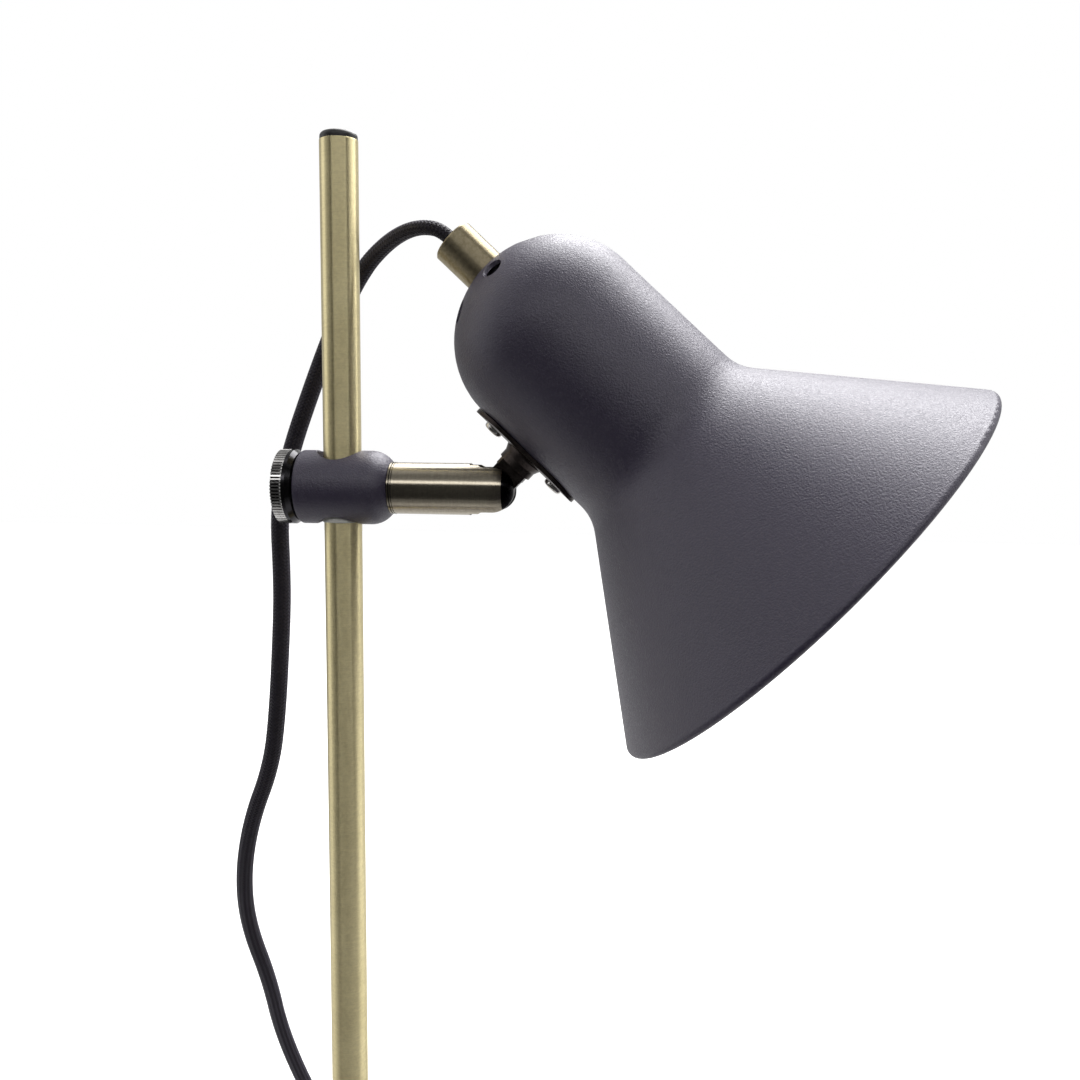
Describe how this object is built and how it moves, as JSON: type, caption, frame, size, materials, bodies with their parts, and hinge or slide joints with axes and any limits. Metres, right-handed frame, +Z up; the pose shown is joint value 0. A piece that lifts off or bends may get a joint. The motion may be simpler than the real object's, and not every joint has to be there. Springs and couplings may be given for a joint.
{
  "type": "desk lamp",
  "caption": "Desk lamp with a bell shade on a tilting knuckle, carried by a clamp that slides and turns on a plain post, on a round weighted base.",
  "frame": {"origin": "underside of the felt pad, on the post's axis", "axes": "+Z up the post, +X the way the arm points at rest, +Y away from someone facing the lamp's side"},
  "size_m": [0.2871, 0.242, 0.45],
  "materials": {
    "graphite_paint": "satin fine-texture powder coat",
    "antique_brass": "brushed along the tube, lacquered",
    "arm_metal": "fine turned, antique",
    "dark_bronze": "satin dark bronze plate",
    "wheel_steel": "polished, straight knurl",
    "zinc_steel": "plain zinc plate",
    "cast_iron": "raw casting",
    "felt": "pressed felt",
    "nylon": "natural nylon",
    "black_plastic": "fine moulded",
    "cord_fabric": "tight round braid",
    "porcelain": "glazed",
    "contact_brass": "bright",
    "white_plastic": "moulded",
    "opal_glass": "opal, matt",
    "plated_steel": "nickel plate"
  },
  "bodies": {
    "stand": {"base_cover": "graphite_paint", "base_weight": "cast_iron", "base_pad": "felt", "post_tube": "antique_brass", "post_plug": "black_plastic", "post_nipple": "zinc_steel", "post_washer": "zinc_steel", "post_nut": "zinc_steel", "post_collar": "antique_brass", "cord_lower": "cord_fabric", "switch_base": "black_plastic", "switch_cover": "black_plastic", "cord_to_coil": "cord_fabric", "cord_coil": "cord_fabric", "cord_to_plug": "cord_fabric", "coil_tie": "felt", "plug_body": "black_plastic", "plug_pins": "plated_steel"},
    "sleeve": {"post_sleeve": "nylon", "cord_middle": "cord_fabric"},
    "slider": {"slider_body": "graphite_paint", "arm_ring": "arm_metal", "arm_stud": "zinc_steel", "arm_bar": "arm_metal", "pivot_screw": "dark_bronze", "pivot_washers": "nylon", "cord_upper": "cord_fabric"},
    "brake": {"brake_pad": "nylon"},
    "thumb_screw": {"thumb_wheel": "wheel_steel", "thumb_stud": "zinc_steel"},
    "head": {"tilt_knuckle": "dark_bronze", "mount_plate": "dark_bronze", "plate_screws": "plated_steel", "plate_nuts": "zinc_steel", "shade": "graphite_paint", "cord_gland": "antique_brass", "cord_inside": "cord_fabric", "gland_nut": "zinc_steel", "holder_cap": "black_plastic", "holder_sleeve": "black_plastic", "holder_insert": "porcelain", "holder_contact": "contact_brass", "holder_thread": "contact_brass", "bulb_tip": "plated_steel", "bulb_cap": "plated_steel", "bulb_housing": "white_plastic", "bulb_globe": "opal_glass"},
    "rocker": {"switch_rocker": "black_plastic"}
  },
  "joints": [
    {"name": "slider_height", "type": "slide", "parent": "stand", "child": "sleeve", "axis": [0, 0, 1], "range_m": [-0.185, 0.098], "deforming": ["cord_lower"]},
    {"name": "slider_turn", "type": "hinge", "parent": "sleeve", "child": "slider", "pos_m": [0, 0, 0.334], "axis": [0, 0, 1], "range_deg": [-90, 90], "deforming": ["cord_middle"]},
    {"name": "head_tilt", "type": "hinge", "parent": "slider", "child": "head", "pos_m": [0.0517, 0, 0.334], "axis": [0, 1, 0], "range_deg": [-10, 50], "deforming": ["cord_upper"]},
    {"name": "brake_travel", "type": "slide", "parent": "slider", "child": "brake", "axis": [-1, 0, 0], "range_m": [0, 0.001]},
    {"name": "thumb_turn", "type": "hinge", "parent": "brake", "child": "thumb_screw", "pos_m": [-0.017, 0, 0.334], "axis": [-1, 0, 0], "range_deg": [0, 360]},
    {"name": "switch_rock", "type": "hinge", "parent": "stand", "child": "rocker", "pos_m": [0.034, 0.149, 0.015], "axis": [0, 1, 0], "range_deg": [0, 14]}
  ],
  "couplings": [
    {"joint": "thumb_turn", "follows": "brake_travel", "rad_per_m": 6283.2}
  ]
}
